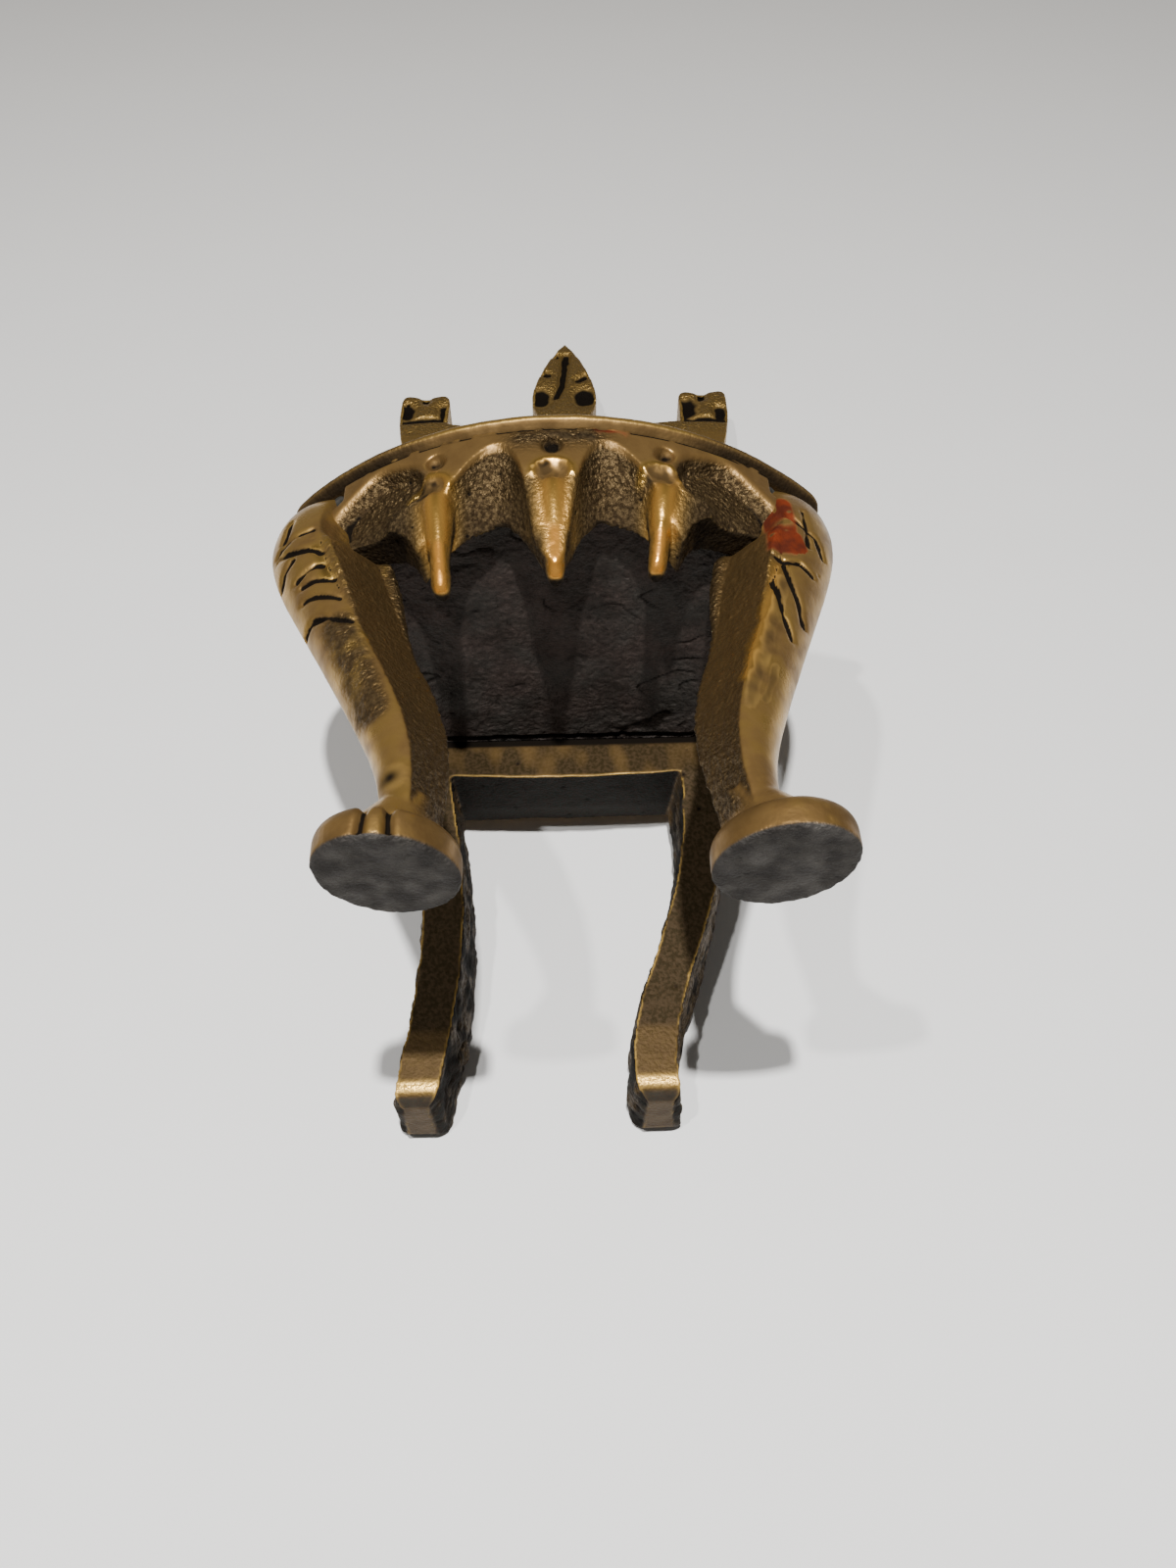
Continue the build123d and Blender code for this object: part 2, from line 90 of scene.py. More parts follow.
def ramp(values, low, high):
    """0 below low, 1 above high, smooth in between."""
    t = np.clip((values - low) / (high - low), 0, 1)
    return t * t * (3 - 2 * t)


def stroke(points, path, width):
    """Closeness to a path drawn in the front view (x, z): 1 on it, fading out over its width."""
    xz = points[:, (0, 2)]
    best = np.zeros(len(points))
    for start, end in zip(path, path[1:]):
        start, end = np.array(start), np.array(end)
        along = end - start
        t = np.clip((xz - start) @ along / (along @ along), 0, 1)
        gap = np.linalg.norm(xz - start - t[:, None] * along, axis=1)
        best = np.maximum(best, np.exp(-((gap / width) ** 2)))
    return best


def strokes(points, paths, width):
    """Closeness to the nearest of several paths."""
    best = np.zeros(len(points))
    for path in paths:
        best = np.maximum(best, stroke(points, path, width))
    return best


def between(values, low, full, fading, gone):
    """0 outside low and gone, 1 from full to fading."""
    return ramp(values, low, full) * (1 - ramp(values, fading, gone))


# ---------------------------------------------------------------- skins


class Skin:
    """A finely meshed copy of a CAD node whose points are moved to carve its surface.

    It works in millimetres. look holds what the material reads at each point, from 0 to 1:
    wear_and_highlight (wear, and painted highlights), dirt_and_shade (dirt, and painted shade),
    coarse, warm, bare, teal, paint and age_and_shade (dark age, and painted shade).
    """

    def __init__(self, node, voxel, rounding):
        self.node = node
        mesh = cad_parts[node].data.copy()
        mesh.transform(Matrix.Scale(1 / MM, 4))
        self.obj = bpy.data.objects.new(node + "_skin", mesh)
        bpy.context.scene.collection.objects.link(self.obj)
        remesh = self.obj.modifiers.new("remesh", "REMESH")
        remesh.mode = "VOXEL"
        remesh.voxel_size = voxel
        graph = bpy.context.evaluated_depsgraph_get()
        made = bpy.data.meshes.new_from_object(self.obj.evaluated_get(graph))
        self.obj.modifiers.clear()
        self.obj.data = made
        self.mesh = made
        count = len(made.vertices)
        flat = np.empty(count * 3, np.float32)
        made.vertices.foreach_get("co", flat)
        self.co = flat.reshape(-1, 3).astype(float)
        pairs = np.empty(len(made.edges) * 2, np.int32)
        made.edges.foreach_get("vertices", pairs)
        self.a, self.b = pairs.reshape(-1, 2).T
        self.degree = np.bincount(self.a, minlength=count) + np.bincount(self.b, minlength=count)
        self.co = self.spread(self.co, rounding)
        self.look = {}
        self.update()

    def spread(self, values, times):
        """Values averaged with their neighbours again and again."""
        count = len(self.degree)
        columns = values.reshape(count, -1).T.copy()
        for _ in range(times):
            for i, column in enumerate(columns):
                total = np.bincount(self.a, column[self.b], count)
                total += np.bincount(self.b, column[self.a], count)
                columns[i] = 0.5 * column + 0.5 * total / self.degree
        return columns.T.reshape(values.shape)

    def update(self):
        """Takes the moved points into the mesh and reads its normals back."""
        self.mesh.vertices.foreach_set("co", self.co.astype(np.float32).ravel())
        self.mesh.update()
        flat = np.empty(self.co.size, np.float32)
        self.mesh.vertex_normals.foreach_get("vector", flat)
        self.normal = flat.reshape(-1, 3).astype(float)

    def push(self, amount):
        """Moves the surface outwards, in millimetres."""
        self.co = self.co + self.normal * np.asarray(amount)[:, None]
        self.update()

    def relief(self, times):
        """Height above the neighbourhood's average: positive on edges, negative in hollows."""
        return np.einsum("ij,ij->i", self.co - self.spread(self.co, times), self.normal)

    def finish(self, material, overlap=0):
        """Keeps the skin in its node's box, give or take the overlap, and hands it to the frame."""
        lo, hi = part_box(self.node)
        self.co = np.clip(self.co, np.array(lo) / MM - overlap, np.array(hi) / MM + overlap)
        self.mesh.vertices.foreach_set("co", (self.co * MM).astype(np.float32).ravel())
        for name, values in self.look.items():
            layer = self.mesh.attributes.new(name, "FLOAT", "POINT")
            layer.data.foreach_set("value", np.clip(values, 0, 1).astype(np.float32))
        self.mesh.shade_smooth()
        self.mesh.update()
        self.mesh.materials.clear()
        self.mesh.materials.append(material)
        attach(self.obj, "root")
        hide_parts(self.node)


# ---------------------------------------------------------------- materials


class Nodes:
    """Short names for building a material out of nodes."""

    def __init__(self, name):
        self.mat = bpy.data.materials.new(name)
        self.mat.use_nodes = True
        self.tree = self.mat.node_tree
        self.shader = self.tree.nodes["Principled BSDF"]
        self.shader.inputs["Specular IOR Level"].default_value = METAL_GLOSS
        self.place = self.tree.nodes.new("ShaderNodeTexCoord").outputs["Object"]

    def link(self, value, socket):
        """Feeds a socket from another node's output, a colour or a number."""
        if hasattr(value, "links"):
            self.tree.links.new(value, socket)
        elif isinstance(value, tuple):
            socket.default_value = (*value, 1)
        else:
            socket.default_value = value

    def value(self, name):
        """A value that a skin keeps for each of its points."""
        node = self.tree.nodes.new("ShaderNodeAttribute")
        node.attribute_name = name
        return node.outputs["Fac"]

    def grain(self, scale, detail=4, low=0.35, high=0.65):
        """Noise whose contrast grows as low and high come closer."""
        node = self.tree.nodes.new("ShaderNodeTexNoise")
        node.inputs["Scale"].default_value = scale
        node.inputs["Detail"].default_value = detail
        self.tree.links.new(self.place, node.inputs["Vector"])
        return self.range(node.outputs["Fac"], low, high, 0, 1)

    def range(self, value, low, high, to_low, to_high):
        node = self.tree.nodes.new("ShaderNodeMapRange")
        self.link(value, node.inputs["Value"])
        for socket, number in zip(("From Min", "From Max", "To Min", "To Max"), (low, high, to_low, to_high)):
            node.inputs[socket].default_value = number
        return node.outputs["Result"]

    def math(self, operation, a, b):
        node = self.tree.nodes.new("ShaderNodeMath")
        node.operation = operation
        node.use_clamp = True
        self.link(a, node.inputs[0])
        self.link(b, node.inputs[1])
        return node.outputs[0]

    def mix(self, factor, a, b):
        node = self.tree.nodes.new("ShaderNodeMixRGB")
        self.link(factor, node.inputs["Fac"])
        for value, socket in ((a, node.inputs["Color1"]), (b, node.inputs["Color2"])):
            if isinstance(value, (int, float)):
                value = (value, value, value)
            self.link(value, socket)
        return node.outputs[0]

    def bump(self, height, strength, distance):
        node = self.tree.nodes.new("ShaderNodeBump")
        node.inputs["Distance"].default_value = distance
        self.link(strength, node.inputs["Strength"])
        self.link(height, node.inputs["Height"])
        self.tree.links.new(node.outputs["Normal"], self.shader.inputs["Normal"])

    def done(self, colour, metallic, roughness):
        self.link(colour, self.shader.inputs["Base Color"])
        self.link(metallic, self.shader.inputs["Metallic"])
        self.link(roughness, self.shader.inputs["Roughness"])
        return self.mat


METAL_GLOSS = 0.06
# Worn, patinated and dark brass
GOLD = (0.58, 0.36, 0.09)
ORANGE_GOLD = (0.60, 0.27, 0.05)
PATINA = (0.23, 0.137, 0.048)
BROWN = (0.10, 0.055, 0.019)
# Dark aged brass, also painted as shade on the rear legs' fronts
AGED_AND_SHADED = (0.024, 0.016, 0.006)
GRANULAR = (0.098, 0.066, 0.031)
DARK_GRAIN = (0.042, 0.027, 0.013)
BLACK = (0.0045, 0.0030, 0.0018)
# Casting skin, bare and filled metal, paint
STONE = (0.028, 0.021, 0.018)
PALE_STONE = (0.048, 0.036, 0.031)
BARE = (0.075, 0.069, 0.062)
DARK_BARE = (0.044, 0.040, 0.037)
TEAL_GREY = (0.023, 0.025, 0.022)
PAINT = (0.115, 0.019, 0.006)
DARK_PAINT = (0.055, 0.011, 0.005)
GREY = (0.075, 0.068, 0.060)


def aged_brass():
    """Brass that is golden where worn and where highlights are painted, brown where not, dark where aged,
    black in recesses, dark to black where shade is painted, and grainy where cast.
    """
    n = Nodes("aged_brass")
    blotch = n.grain(800, 6, 0.38, 0.62)
    speck = n.grain(3600, 3, 0.42, 0.58)
    wear_and_highlight, dirt_and_shade, coarse, warm = (n.value(a) for a in ("wear_and_highlight", "dirt_and_shade", "coarse", "warm"))
    bare, teal, paint, age_and_shade = (n.value(a) for a in ("bare", "teal", "paint", "age_and_shade"))
    dirt_and_shade = n.range(dirt_and_shade, 0, 0.8, 0, 1)
    gold = n.mix(warm, GOLD, ORANGE_GOLD)
    smooth = n.mix(n.math("MULTIPLY", blotch, 0.45), PATINA, BROWN)
    rough = n.mix(speck, GRANULAR, DARK_GRAIN)
    body = n.mix(age_and_shade, n.mix(coarse, smooth, rough), n.mix(speck, AGED_AND_SHADED, DARK_GRAIN))
    colour = n.mix(wear_and_highlight, body, gold)
    colour = n.mix(bare, colour, n.mix(blotch, BARE, DARK_BARE))
    colour = n.mix(teal, colour, n.mix(speck, TEAL_GREY, STONE))
    colour = n.mix(dirt_and_shade, colour, BLACK)
    colour = n.mix(paint, colour, n.mix(blotch, PAINT, DARK_PAINT))
    film = n.math("SUBTRACT", 0.3, n.math("MULTIPLY", coarse, 0.22))
    dull = n.math("MULTIPLY", n.math("SUBTRACT", 1.0, wear_and_highlight), film)
    for part, share in ((bare, 0.65), (teal, 1.0), (dirt_and_shade, 1.0), (paint, 1.0), (age_and_shade, 0.85), (warm, 0.32)):
        dull = n.math("MAXIMUM", dull, n.math("MULTIPLY", part, share))
    metallic = n.math("SUBTRACT", 1.0, n.math("MULTIPLY", dull, 0.95))
    roughness = n.mix(coarse, n.mix(blotch, 0.30, 0.42), n.mix(speck, 0.48, 0.64))
    matt = n.math("MAXIMUM", n.math("MAXIMUM", teal, dirt_and_shade), paint)
    for part, roughest in ((age_and_shade, 0.6), (wear_and_highlight, 0.2), (bare, 0.62), (matt, 0.85)):
        roughness = n.mix(part, roughness, roughest)
    grainy = n.math("MAXIMUM", coarse, n.math("MAXIMUM", bare, teal))
    n.bump(n.grain(4200, 3, 0.3, 0.7), n.mix(grainy, 0.08, 0.75), 0.12 * MM)
    return n.done(colour, metallic, roughness)


def cast_skin():
    """Unfinished near-black casting skin."""
    n = Nodes("cast_skin")
    speck = n.grain(2600, 4, 0.4, 0.62)
    blotch = n.grain(300, 5, 0.4, 0.65)
    colour = n.mix(n.math("MULTIPLY", speck, 0.7), STONE, PALE_STONE)
    colour = n.mix(n.math("MULTIPLY", blotch, 0.5), colour, TEAL_GREY)
    # Black where there is dirt, and where shade is painted along the core's rear joint.
    colour = n.mix(n.value("dirt_and_shade"), colour, BLACK)
    n.bump(n.grain(2400, 5, 0.3, 0.7), 0.8, 0.2 * MM)
    return n.done(colour, 0.3, n.mix(speck, 0.5, 0.7))


def solder():
    """Dull grey filler."""
    n = Nodes("solder")
    speck = n.grain(2200, 4)
    return n.done(n.mix(speck, GREY, TEAL_GREY), 0.5, n.mix(speck, 0.45, 0.65))


BRASS = aged_brass()
SKIN = cast_skin()
SOLDER = solder()

# ---------------------------------------------------------------- pieces


def settle(skin, wear_and_highlight, dirt_and_shade, edge=0.05, hollow=0.06):
    """Sets wear on edges and dirt in hollows on top of what a piece already asks for."""
    near = skin.relief(10)
    patches = 0.75 + 0.35 * noise(skin.co, 2.6, 5)
    kept = 1 - 0.72 * skin.look.get("coarse", 0)
    skin.look["wear_and_highlight"] = np.clip(wear_and_highlight + ramp(near, 0.3 * edge, edge) * patches * kept, 0, 1)
    skin.look["dirt_and_shade"] = np.clip(dirt_and_shade + ramp(-near, 0.35 * hollow, hollow), 0, 1)
    for name in ("coarse", "warm", "bare", "teal", "paint", "age_and_shade"):
        skin.look.setdefault(name, np.zeros(len(skin.co)))


def casting_grain(skin, where, height):
    """Sand-cast grain on part of a surface."""
    fine = noise(skin.co, 0.42, 11) + 0.6 * noise(skin.co, 0.24, 12)
    skin.push(where * height * (fine + 0.7 * noise(skin.co, 1.3, 13)))


ARC_CENTRE_Y = 7.65  # the middle of the front edge's arc, on the chair's centre line
PLATE_BEVEL_HEIGHT = 0.7
PLATE_BEVEL = 0.5


def seat_plate():
    """Worn on top, with a bevel under its front edge and grainy flanks."""
    skin = Skin("seat_plate", 0.15, 4)
    bottom = skin.co[:, 2].min()
    outward = skin.co[:, :2] - np.array([0, ARC_CENTRE_Y])
    reach = np.linalg.norm(outward, axis=1)
    bevel = (1 - ramp(skin.co[:, 2], bottom, bottom + PLATE_BEVEL_HEIGHT)) * ramp(reach, 24, 25)
    skin.co[:, :2] -= PLATE_BEVEL * bevel[:, None] * outward / reach[:, None]
    skin.update()
    skin.push(0.02 * noise(skin.co, 2.0, 21) + 0.012 * noise(skin.co, 0.6, 22))
    pits = spots(skin.co, 1.6, 0.28, 0.25, 23)
    skin.push(-0.06 * pits)
    flank = ramp(np.abs(skin.co[:, 0]), 7, 12) * ramp(-skin.normal[:, 1], -0.2, 0.3)
    under = ramp(-skin.normal[:, 2], 0.4, 0.8)
    skin.look["coarse"] = 0.6 * flank
    # Painted shade: the plate's underside is painted less worn and blacker than its top.
    wear_and_highlight = 0.3 - 0.4 * flank - 0.5 * under
    dirt_and_shade = 0.7 * ramp(pits, 0.2, 0.7) + 0.25 * flank + 0.5 * under
    settle(skin, wear_and_highlight, dirt_and_shade, 0.12, 0.08)
    skin.finish(BRASS)


CORE_SETBACK = 0.9  # the core's front stays clear of the apron's flutes
SHADOW_GAP = 0.9  # the open joint along the core's rear edge


def seat_core():
    """Lumpy, cracked and pitted underneath."""
    skin = Skin("seat_core", 0.15, 3)
    under = ramp(-skin.normal[:, 2], 0.5, 0.9)
    lumps = noise(skin.co, 1.9, 31) + 0.6 * noise(skin.co, 0.9, 32) + 0.45 * noise(skin.co, 0.45, 33)
    cracks = np.abs(noise(skin.co * np.array([1, 1.5, 1]), 2.0, 34))
    crack = 1 - ramp(cracks, 0.02, 0.10)
    patches = ramp(noise(skin.co, 3.0, 35), 0.1, 0.5)
    pits = spots(skin.co, 1.5, 0.4, 0.45, 36)
    skin.push(under * (0.1 * lumps - 0.14 * crack * patches - 0.14 * pits - 0.1))
    skin.push(-CORE_SETBACK * ramp(-skin.normal[:, 1], 0.2, 0.5) * (1 - under))
    # The core's rear edge is lifted to open a joint along the back, and that edge is also painted black, as
    # painted shade inside the joint.
    rear = ramp(skin.co[:, 1], 6.7, 7.0) * under
    skin.co[:, 2] += SHADOW_GAP * rear
    skin.update()
    hollow = 0.3 * ramp(-lumps, -0.3, 0.8)
    skin.look["dirt_and_shade"] = np.clip(0.8 * crack * patches + rear + hollow + 0.6 * ramp(pits, 0.3, 0.8), 0, 1)
    skin.finish(SKIN)


# Front view (x, z) of the carving on the apron.
DROPS = (((-7.8, 29.0), (-7.3, 21.8)), ((-0.25, 29.0), (-0.2, 22.0)), ((7.0, 29.0), (6.1, 23.1)))
BEADS = ((-8.2, 29.2), (-0.3, 29.1), (6.7, 29.4))
DIMPLES = ((-7.9, 31.6), (-0.3, 31.6), (7.2, 31.6))
SCOOPS = (((-10.4, 30.2), (-11.4, 30.5), (-13.1, 29.2)), ((9.6, 30.2), (10.8, 30.5), (12.8, 29.0)))
WORN_PATCH = ((-2.3, 32.2), (2.4, 32.3))
PAINT_TRACE = ((2.9, 32.9), (4.4, 32.7))
PAINT_GLOW = ((2.6, 32.7), (4.4, 32.5))
SCOOP_RADIUS = 24.3  # how far out from the arc's centre the floor of an outer scoop lies
SMOOTH_BAND_RADIUS = 25.35  # the smooth band above the flutes lies this far out
APRON_STRETCH = (1.1, 0.7)  # how far the apron's ends run on into the knees, sideways and backwards
BEAD_REACH = 0.35
BEAD_RIM = (1.25, 0.95)  # half width and half height of the raised rim round a bead


def sink_scoops(skin):
    """Widens the outermost flutes into broad scoops, and says where they are."""
    scoop = ramp(strokes(skin.co, SCOOPS, 1.8), 0.2, 0.7)
    x, y, _ = skin.co.T
    plan_radius = np.hypot(x, y - ARC_CENTRE_Y)
    sunk = 0.9 * scoop * np.clip(plan_radius - SCOOP_RADIUS, 0, 1.5) / plan_radius
    skin.co[:, 0] -= sunk * x
    skin.co[:, 1] -= sunk * (y - ARC_CENTRE_Y)
    skin.update()
    return scoop


def drop_masks(points):
    """The tapering ridge of each drop, and the brightest stretch down its upper half, where a highlight is
    painted.
    """
    middles = [((top[0] + tip[0]) / 2, (top[1] + tip[1]) / 2) for top, tip in DROPS]
    upper = [(top, middle) for (top, _), middle in zip(DROPS, middles)]
    lower = [(middle, tip) for (_, tip), middle in zip(DROPS, middles)]
    ridge = np.maximum(strokes(points, upper, 0.95), strokes(points, lower, 0.55))
    return ridge, strokes(points, upper, 0.45)


def bead_masks(points):
    """The bead at the head of each drop, and the rim that half surrounds it."""
    beads = [((cx - BEAD_REACH, cz), (cx + BEAD_REACH, cz)) for cx, cz in BEADS]
    wide, high = BEAD_RIM
    angles = np.linspace(-1.7, 1.7, 9)
    rims = [[(cx + wide * math.sin(a), cz + high * math.cos(a)) for a in angles] for cx, cz in BEADS]
    return strokes(points, beads, 0.75), strokes(points, rims, 0.3)


def front_apron():
    """Grainy flutes under a smooth band, golden drops, and a dark seam below the plate."""
    skin = Skin("front_apron", 0.09, 5)
    co = skin.co
    x, y, z = co.T
    reach = ramp(np.abs(x), 12.8, 13.9) * (1 - ramp(z, 30.6, 31.6))
    skin.co[:, 0] += APRON_STRETCH[0] * reach * np.sign(x)
    skin.co[:, 1] += APRON_STRETCH[1] * reach
    blend = ramp(strokes(skin.co, DROPS, 1.9), 0.2, 0.6)[:, None]
    skin.co += blend * (skin.spread(skin.co, 24) - skin.co)
    skin.update()
    normal = skin.normal
    facing = ramp(-normal[:, 1], 0.0, 0.35)
    plan_radius = np.hypot(x, y - ARC_CENTRE_Y)
    band = ramp(plan_radius, 25.0, SMOOTH_BAND_RADIUS) * ramp(z, 28.2, 29.0)
    ridge, highlight_spine = drop_masks(co)
    ridge *= facing
    scoop = sink_scoops(skin)
    band *= 1 - ramp(scoop * facing, 0.1, 0.45)
    rough = 1 - np.maximum(band, np.clip(ridge * 1.25, 0, 1))
    patch = stroke(co, WORN_PATCH, 1.0) * facing
    casting_grain(skin, np.clip(rough + 0.8 * patch, 0, 1), 0.036)
    pits = spots(skin.co, 0.9, 0.22, 0.35, 41) * np.clip(rough + patch, 0, 1)
    bead, rim = bead_masks(skin.co)
    bead *= facing
    rim *= facing
    dimples = [((cx - 0.05, cz), (cx + 0.05, cz)) for cx, cz in DIMPLES]
    dimple = strokes(skin.co, dimples, 0.5) * facing
    seam = ramp(z, 32.75, 32.95) * ramp(noise(skin.co, 0.7, 45), -0.5, 0.0)
    skin.push(-0.12 * pits - 0.28 * bead + 0.14 * rim - 0.28 * dimple - 0.12 * seam)
    glow = 0.6 * stroke(skin.co, PAINT_GLOW, 0.5)
    flakes = ramp(noise(skin.co, 0.6, 44), -0.3, 0.2)
    skin.look["coarse"] = np.clip(rough + patch, 0, 1)
    # Painted highlight: the upper half of each drop is painted yellower and cleaner than its orange sides.
    skin.look["warm"] = np.clip(ridge * (1.1 - 0.8 * highlight_spine) + glow, 0, 1)
    skin.look["paint"] = 0.8 * stroke(skin.co, PAINT_TRACE, 0.35) * flakes
    # The grainy flutes grow darker towards their bottom.
    dirt_and_shade = 0.45 * ramp(pits, 0.25, 0.7) + 0.4 * rough * (1 - ramp(z, 26.5, 30.0))
    dirt_and_shade += 0.6 * ramp(bead + 0.5 * noise(skin.co, 0.35, 46), 0.3, 0.9)
    dirt_and_shade += 0.3 * ramp(dimple, 0.2, 0.9) + seam
    # Painted shade: surfaces facing down are painted darker, except on the drops.
    dirt_and_shade += 0.35 * ramp(-normal[:, 2], 0.5, 0.8) * (1 - ridge)
    dirt_and_shade += 0.3 * ridge * (1 - highlight_spine) * ramp(noise(skin.co, 0.5, 47), 0.0, 0.6)
    dirt_and_shade += 0.5 * patch * ramp(noise(skin.co, 0.5, 42), -0.1, 0.4)
    settle(skin, np.clip(ridge * 1.2 + 0.9 * rim - bead, 0, 1), dirt_and_shade, 0.06, 0.07)
    skin.look["wear_and_highlight"] *= (1 - 0.8 * ramp(bead, 0.3, 0.6)) * (1 - 0.8 * ramp(np.abs(x), 10.5, 12))
    skin.finish(BRASS, overlap=1.2)


# Front view (x, z) of the grooves cut in each knee.
LEFT_KNEE = (
    ((-15.9, 28.1), (-17.1, 27.9), (-17.7, 27.6), (-18.4, 27.2)),
    ((-17.7, 29.8), (-17.9, 28.0)),
    ((-15.1, 25.6), (-15.9, 26.1), (-16.9, 26.3), (-18.2, 26.8)),
    ((-17.1, 25.7), (-17.7, 25.2), (-17.9, 24.4)),
    ((-14.8, 24.3), (-15.3, 24.4), (-16.0, 24.1), (-16.5, 23.7)),
    ((-14.0, 22.8), (-15.2, 23.1), (-16.1, 23.0)),
    ((-13.4, 21.0), (-14.8, 21.6), (-15.9, 21.8)),
    ((-12.4, 18.7), (-14.0, 19.5), (-15.2, 19.9), (-15.7, 19.5)),
)
RIGHT_KNEE = (
    ((14.6, 28.9), (15.3, 28.3), (16.1, 27.4), (16.7, 26.8), (17.1, 25.5)),
    ((16.2, 29.4), (16.2, 27.4), (16.1, 25.8)),
    ((13.5, 24.4), (14.1, 23.7), (15.2, 23.8), (16.0, 23.2)),
    ((14.1, 23.4), (14.4, 21.6), (14.7, 20.1), (14.8, 18.6)),
    ((13.0, 22.2), (13.4, 20.3), (13.5, 18.6), (13.8, 16.8)),
)
KNEE_GROOVES = {-1: (LEFT_KNEE, 0.24), 1: (RIGHT_KNEE, 0.19)}  # their paths and width
TOE_GROOVES = (((-10.0, 0.2), (-9.8, 2.4)), ((-8.5, 0.2), (-8.6, 2.4)))
GROOVE_DEPTH = 0.36
TOE_DEPTH = 0.4
KNEE_SWELL = 1.2
PAD_HEIGHT = 2.6

# Front view (x, z) of the marks on each leg.
# LEFT_GLINT is a painted highlight: golden wear where the left knee glints.
LEFT_GLINT = ((-15.5, 26.0), (-14.9, 24.7), (-14.3, 23.0))
LEFT_SHIN = ((-13.2, 18.6), (-11.9, 15.0), (-10.6, 11.0))
LEFT_STAIN = (-9.1, 5.6)
RIGHT_RIDGE = ((13.6, 23.2), (11.9, 17.4), (10.4, 12.9))
RIGHT_STRIPE = ((13.95, 21.9), (12.2, 16.3), (10.3, 10.5))
RIGHT_PATCH = ((12.4, 14.0), (11.4, 11.0))
PAINTED = ((14.5, 30.0), (14.5, 27.4), (14.2, 25.0))
PAINT_RUN = ((15.0, 26.4), (15.3, 25.0))
PAINT_CHIP = ((14.6, 27.9), (14.9, 27.9))
PAINT_FOOT = 24.2  # no paint is left below this height
LENGTHWISE = np.array([1, 1, 0.35])  # draws noise out along the leg


def left_marks(skin, uncut, front, inner):
    """Mottled shin, glint on the knee painted as a highlight and dark stain above the foot; returns dirt, and
    wear that carries the painted glint.
    """
    x, _, z = uncut.T
    stain_x, stain_z = LEFT_STAIN
    stain = np.exp(-((x - stain_x) ** 2 + (z - stain_z) ** 2) / 0.7) * front
    shin = ramp(stroke(skin.co, LEFT_SHIN, 1.3), 0.3, 0.8) * front
    mottle = ramp(noise(skin.co, 0.5, 54) + 0.5 * noise(skin.co, 0.25, 58), -0.1, 0.3)
    casting_grain(skin, shin, 0.035)
    skin.look["coarse"] = np.clip(skin.look["coarse"] + 0.8 * shin, 0, 1)
    # Painted highlight: golden wear where the knee glints, partly real wear.
    glint = stroke(skin.co, LEFT_GLINT, 0.45) * front * (1 - inner)
    return 0.8 * stain + 0.5 * shin * mottle, 0.8 * glint - 0.3 * shin


def right_marks(skin, uncut, front, inner):
    """Dark streaks, golden ridge and a remnant of red paint; returns dirt, wear and paint."""
    stripe = stroke(skin.co, RIGHT_STRIPE, 0.7) * front * (1 - inner)
    patch = stroke(skin.co, RIGHT_PATCH, 0.4) * front
    drawn_out = skin.co * LENGTHWISE
    broken = noise(drawn_out, 0.45, 58) + 0.6 * noise(drawn_out, 0.2, 59)
    dirt_and_shade = 0.6 * ramp(np.maximum(stripe, patch) + 0.22 * broken, 0.35, 1.05)
    skin.look["warm"] = 0.5 * stroke(skin.co, RIGHT_RIDGE, 0.5)
    run = stroke(skin.co, PAINT_RUN, 0.7) * ramp(noise(skin.co, 0.7, 60), -0.4, 0.2)
    painted = ramp(np.maximum(stroke(skin.co, PAINTED, 1.0), run), 0.25, 0.5)
    paint = painted * ramp(noise(skin.co, 0.5, 55), -0.95, -0.6)
    kept = 1 - stroke(skin.co, PAINT_CHIP, 0.4)
    skin.look["paint"] = paint * kept * ramp(uncut[:, 2], PAINT_FOOT, PAINT_FOOT + 0.5)
    return dirt_and_shade, 0.9 * stroke(skin.co, RIGHT_RIDGE, 0.4) * front, paint


